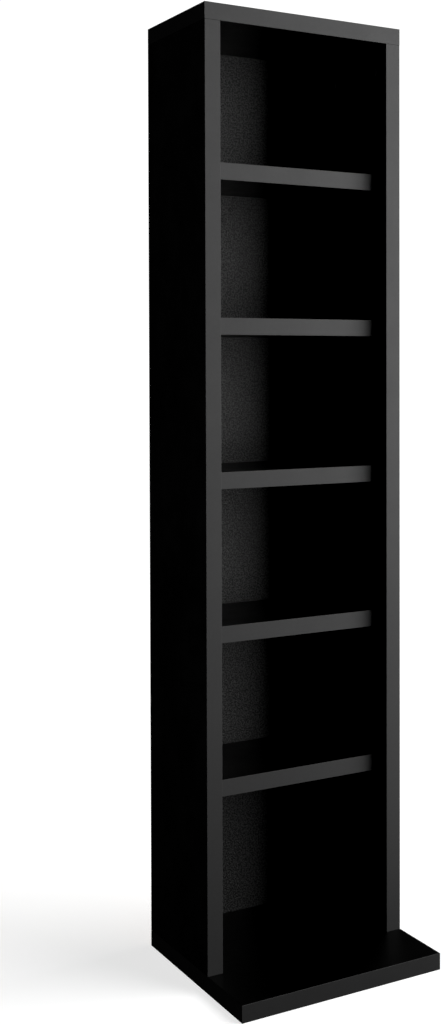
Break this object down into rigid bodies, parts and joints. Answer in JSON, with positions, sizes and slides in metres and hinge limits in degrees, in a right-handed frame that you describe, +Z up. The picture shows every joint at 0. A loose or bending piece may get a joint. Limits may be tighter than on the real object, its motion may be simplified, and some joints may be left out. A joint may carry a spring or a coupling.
{
  "type": "cd dvd storage tower",
  "caption": "Narrow open-front disc storage tower: two side panels, a top, recessed shelves, a thin back and a base board that reaches forward.",
  "frame": {"origin": "on the floor, under the middle of the footprint", "axes": "+Z up, +Y from the open front to the back, +X to the right seen from the front"},
  "size_m": [0.2154, 0.197, 0.915],
  "materials": {
    "melamine_board": "matte black melamine face on chipboard",
    "edge_band": "matte black edge band with a fine grain",
    "hardboard": "black-coated inner face with a fine grain, raw brown rear face",
    "beech_dowel": "raw beech",
    "zinc_plated_steel": "zinc plated",
    "zinc_casting": "as cast",
    "black_plastic": "moulded, fine satin"
  },
  "bodies": {
    "root": {"back_panel": "hardboard", "base_front_band": "edge_band", "base_left_band": "edge_band", "base_panel": "melamine_board", "base_right_band": "edge_band", "base_screw_left_back": "zinc_plated_steel", "base_screw_left_front": "zinc_plated_steel", "base_screw_right_back": "zinc_plated_steel", "base_screw_right_front": "zinc_plated_steel", "cam_bolt_left_back": "zinc_plated_steel", "cam_bolt_left_front": "zinc_plated_steel", "cam_bolt_right_back": "zinc_plated_steel", "cam_bolt_right_front": "zinc_plated_steel", "cam_cap_left_back": "black_plastic", "cam_cap_left_front": "black_plastic", "cam_cap_right_back": "black_plastic", "cam_cap_right_front": "black_plastic", "cam_lock_left_back": "zinc_casting", "cam_lock_left_front": "zinc_casting", "cam_lock_right_back": "zinc_casting", "cam_lock_right_front": "zinc_casting", "left_side_band": "edge_band", "left_side_panel": "melamine_board", "right_side_band": "edge_band", "right_side_panel": "melamine_board", "shelf_1": "melamine_board", "shelf_1_band": "edge_band", "shelf_1_dowel_left_back": "beech_dowel", "shelf_1_dowel_left_front": "beech_dowel", "shelf_1_dowel_right_back": "beech_dowel", "shelf_1_dowel_right_front": "beech_dowel", "shelf_2": "melamine_board", "shelf_2_band": "edge_band", "shelf_2_dowel_left_back": "beech_dowel", "shelf_2_dowel_left_front": "beech_dowel", "shelf_2_dowel_right_back": "beech_dowel", "shelf_2_dowel_right_front": "beech_dowel", "shelf_3": "melamine_board", "shelf_3_band": "edge_band", "shelf_3_dowel_left_back": "beech_dowel", "shelf_3_dowel_left_front": "beech_dowel", "shelf_3_dowel_right_back": "beech_dowel", "shelf_3_dowel_right_front": "beech_dowel", "shelf_4": "melamine_board", "shelf_4_band": "edge_band", "shelf_4_dowel_left_back": "beech_dowel", "shelf_4_dowel_left_front": "beech_dowel", "shelf_4_dowel_right_back": "beech_dowel", "shelf_4_dowel_right_front": "beech_dowel", "shelf_5": "melamine_board", "shelf_5_band": "edge_band", "shelf_5_dowel_left_back": "beech_dowel", "shelf_5_dowel_left_front": "beech_dowel", "shelf_5_dowel_right_back": "beech_dowel", "shelf_5_dowel_right_front": "beech_dowel", "top_front_band": "edge_band", "top_left_band": "edge_band", "top_panel": "melamine_board", "top_right_band": "edge_band"}
  },
  "joints": []
}
